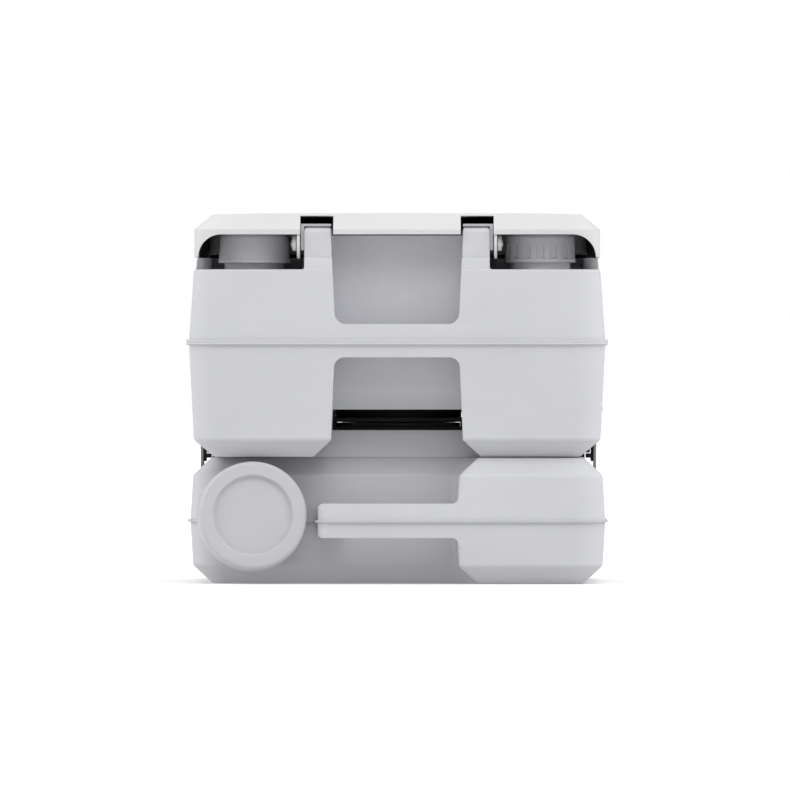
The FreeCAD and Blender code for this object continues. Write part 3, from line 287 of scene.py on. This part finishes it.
# edge radii in millimetres
ROUNDING = {
    "waste_tank_lower_shell": 0.8, "waste_tank_upper_shell": 0.8,
    "flush_tank_lower_shell": 0.8, "flush_tank_upper_shell": 0.8,
    "spout_neck": 0.5, "spout_cap": 0.5, "pump_knob": 0.4, "fill_cap": 0.35, "lid": 0.9, "seat": 0.8,
    "bowl": 0.5, "valve_pull_handle": 1.2, "valve_base_plate": 0.4, "valve_top_plate": 0.4,
    "valve_blade": 0.3, "valve_rod": 0.3, "hinge_cover_left": 0.5, "hinge_cover_right": 0.5,
    "latch_lever_left": 0.4, "latch_lever_right": 0.4, "latch_hook_left": 0.3, "latch_hook_right": 0.3,
    "latch_catch_left": 0.3, "latch_catch_right": 0.3, "pump_collar": 0.3,
}

for node, piece in NODES.items():
    dress(piece, SLOT_OF[node])
    piece.data.shade_smooth()
    piece.data.set_sharp_from_angle(angle=CAD_SHARP)
for node, radius in ROUNDING.items():
    skin(node, radius)


def squashing_bellows():
    """The pump's bellows stand on the tank and ride on its body."""
    bellows = skin("pump_bellows", 0.2, body="tanks")
    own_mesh(bellows)


squashing_bellows()


# ---------------------------------------------------------------- stage, light and camera

def pale_floor():
    """White to the camera; to the object it bounces less than it shows, and glows as a light table does."""
    m = Maker("floor")
    tone = m.ramp(m.noise(1.6, 3.0, 0.6), 0.3, 0.7)
    shown = m.mix(tone, (0.95, 0.95, 0.95, 1), (0.97, 0.97, 0.97, 1))
    camera = m.add("ShaderNodeLightPath").outputs["Is Camera Ray"]
    m.feed(m.shader.inputs["Base Color"], m.mix(camera, (0.52, 0.52, 0.52, 1), shown))
    m.shader.inputs["Emission Color"].default_value = (1.0, 1.0, 1.0, 1)
    m.feed(m.shader.inputs["Emission Strength"], m.ramp(camera, 0.0, 1.0, 0.30, 0.0))
    m.shader.inputs["Roughness"].default_value = 0.9
    m.shader.inputs["Specular IOR Level"].default_value = 0.0
    mesh = bpy.data.meshes.new("floor")
    reach = 30
    corners = [(-reach, -reach, 0), (reach, -reach, 0), (reach, reach, 0), (-reach, reach, 0)]
    mesh.from_pydata(corners, [], [(0, 1, 2, 3)])
    floor = bpy.data.objects.new("floor", mesh)
    floor.data.materials.append(m.material)
    SCENE.collection.objects.link(floor)


def sun(name, strength, elevation, azimuth, softness):
    """A soft light from a direction in degrees; azimuth 0 is the rear, +Y, and 180 the front."""
    light = bpy.data.lights.new(name, "SUN")
    light.energy = strength
    light.angle = math.radians(softness)
    lamp = bpy.data.objects.new(name, light)
    up, turn = math.radians(elevation), math.radians(azimuth)
    source = Vector((math.sin(turn) * math.cos(up), math.cos(turn) * math.cos(up), math.sin(up)))
    lamp.rotation_euler = source.to_track_quat("Z", "Y").to_euler()
    SCENE.collection.objects.link(lamp)


def studio_world(front, around, overhead):
    """A light tent: brightest towards its corners, dimmer to the sides and overhead, least at its ends.

    front, around and overhead are its strengths before the front and rear, at the corners and above. What
    the camera itself sees of it is plain white.
    """
    world = bpy.data.worlds.new("studio")
    world.use_nodes = True
    tree = world.node_tree
    make, link = tree.nodes.new, tree.links.new
    place, split = make("ShaderNodeTexCoord"), make("ShaderNodeSeparateXYZ")
    link(place.outputs["Generated"], split.inputs[0])

    def fade(value, low, high, start, stop):
        ramp = make("ShaderNodeMapRange")
        ramp.interpolation_type = "SMOOTHSTEP"
        set_range(ramp, low, high, start, stop)
        link(value, ramp.inputs["Value"])
        return ramp.outputs["Result"]

    def maths(operation, first, second=None):
        node = make("ShaderNodeMath")
        node.operation = operation
        link(first, node.inputs[0])
        if second is not None:
            link(second, node.inputs[1])
        return node.outputs[0]

    ends = fade(maths("ABSOLUTE", split.outputs["Y"]), 0.45, 0.85, around, front)
    sides = fade(maths("ABSOLUTE", split.outputs["X"]), 0.86, 1.0, 1.0, 0.55)
    dimmer = fade(split.outputs["Z"], 0.5, 0.95, 1.0, overhead / around)
    tent = tree.nodes["Background"]
    tent.inputs["Color"].default_value = (1.0, 1.0, 1.0, 1)
    link(maths("MULTIPLY", maths("MULTIPLY", ends, sides), dimmer), tent.inputs["Strength"])
    backdrop, path, join = make("ShaderNodeBackground"), make("ShaderNodeLightPath"), make("ShaderNodeMixShader")
    backdrop.inputs["Color"].default_value = (1.0, 1.0, 1.0, 1)
    link(path.outputs["Is Camera Ray"], join.inputs[0])
    link(tent.outputs[0], join.inputs[1])
    link(backdrop.outputs[0], join.inputs[2])
    link(join.outputs[0], tree.nodes["World Output"].inputs[0])
    SCENE.world = world


def rear_camera():
    """Straight on to the rear, from far enough away to look almost without perspective.

    It stands a hand's width to the right, turned back to the middle.
    """
    distance, aside = 12.0, -0.09
    span, centre_x, centre_z = 0.6823, 0.0016, 0.1636  # what the picture shows at the rear face
    rear_y = cad_box[1][1]
    camera = bpy.data.objects.new("camera", bpy.data.cameras.new("camera"))
    camera.location = (centre_x + aside, rear_y + distance, centre_z)
    camera.rotation_euler = (math.radians(90), 0, math.radians(180) - math.atan(aside / distance))
    camera.data.lens = camera.data.sensor_width * distance / span
    SCENE.collection.objects.link(camera)
    SCENE.camera = camera


pale_floor()
studio_world(0.36, 2.15, 0.6)
sun("key", 0.95, 50, -8, 40)
sun("front_fill", 0.45, 50, 172, 40)
rear_camera()
SCENE.view_settings.view_transform = "Standard"
